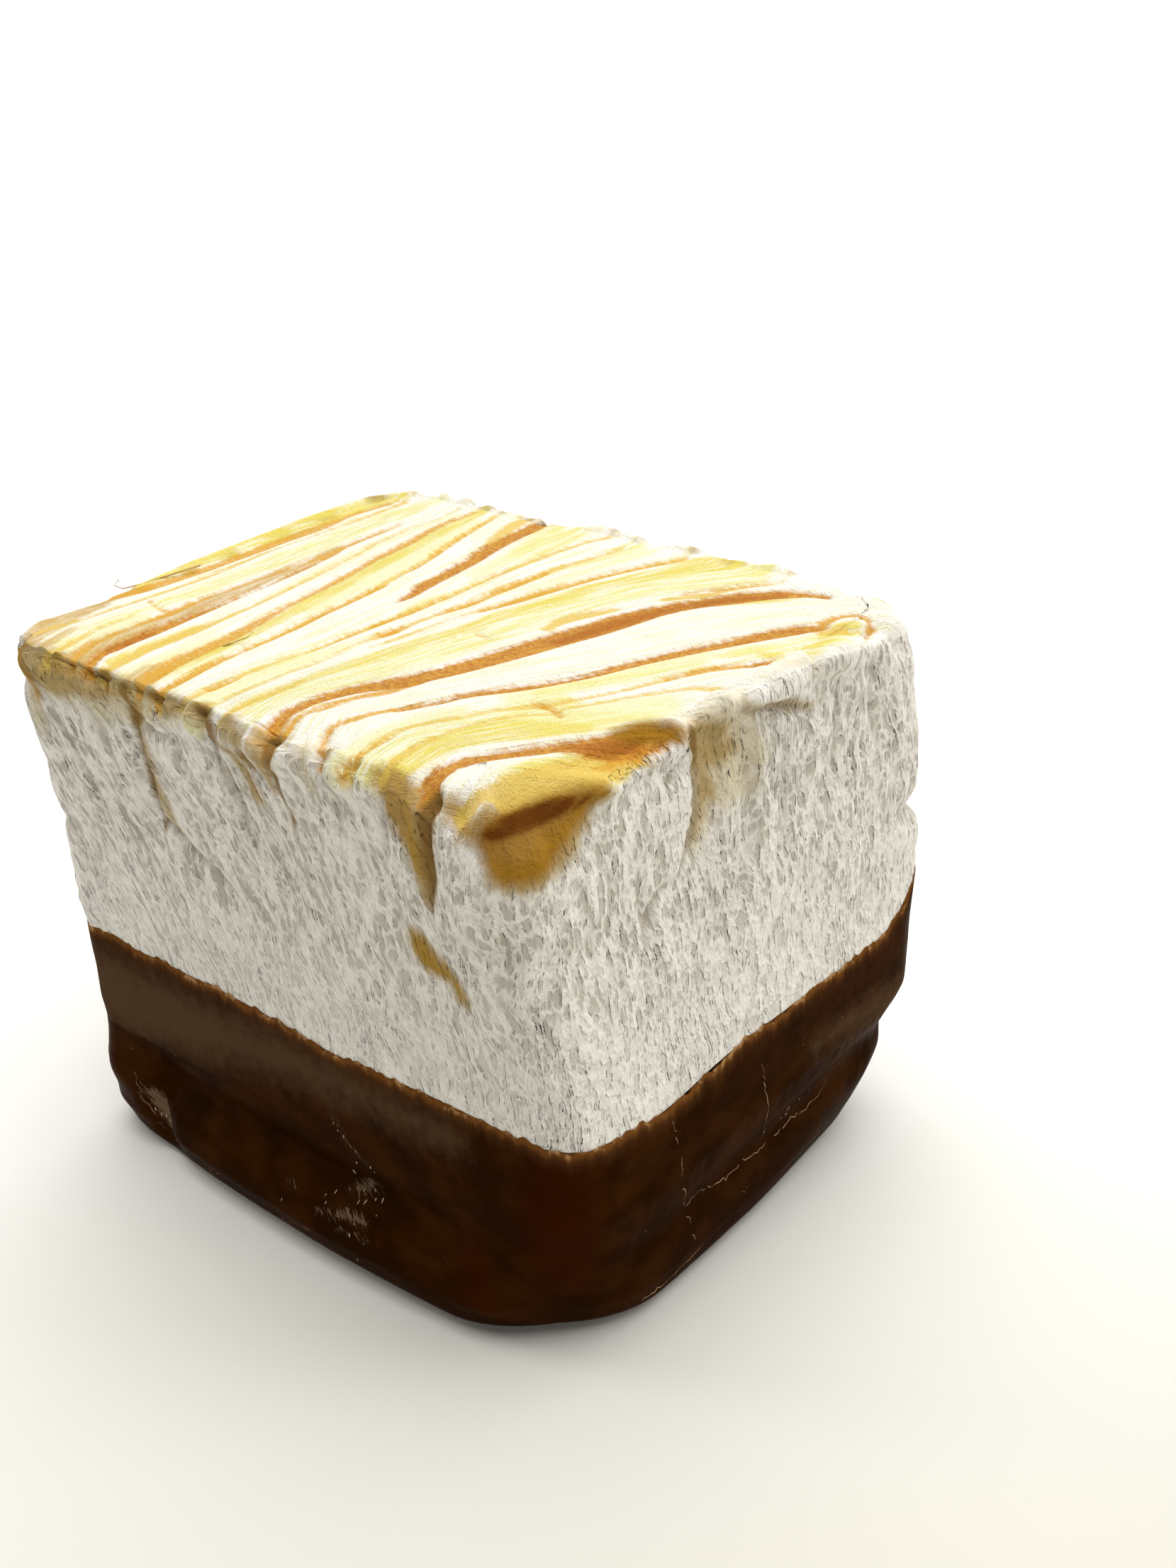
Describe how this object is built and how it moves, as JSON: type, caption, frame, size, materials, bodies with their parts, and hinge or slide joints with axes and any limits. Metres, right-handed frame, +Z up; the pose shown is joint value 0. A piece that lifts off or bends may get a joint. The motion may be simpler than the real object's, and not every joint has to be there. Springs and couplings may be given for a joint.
{
  "type": "chocolate-dipped marshmallow",
  "caption": "Hand-cut block of marshmallow foam with caramel swirls in its top, its lower part dipped in dark chocolate that spreads to a foot.",
  "frame": {"origin": "middle of the flat chocolate underside, below the middle of the part's box", "axes": "+Z up, -Y the long front face, +X the short right face"},
  "size_m": [0.041, 0.0316, 0.031],
  "materials": {
    "marshmallow_foam": "dry, matt, finely wrinkled white foam with honey, amber and brown caramel swirls in the top and a few drips down the sides",
    "dark_chocolate": "satin dark chocolate, lighter and finely toothed at the dip line, with pale scuffs and hairline cracks"
  },
  "bodies": {
    "root": {"marshmallow": "marshmallow_foam", "chocolate_shell": "dark_chocolate"}
  },
  "joints": []
}
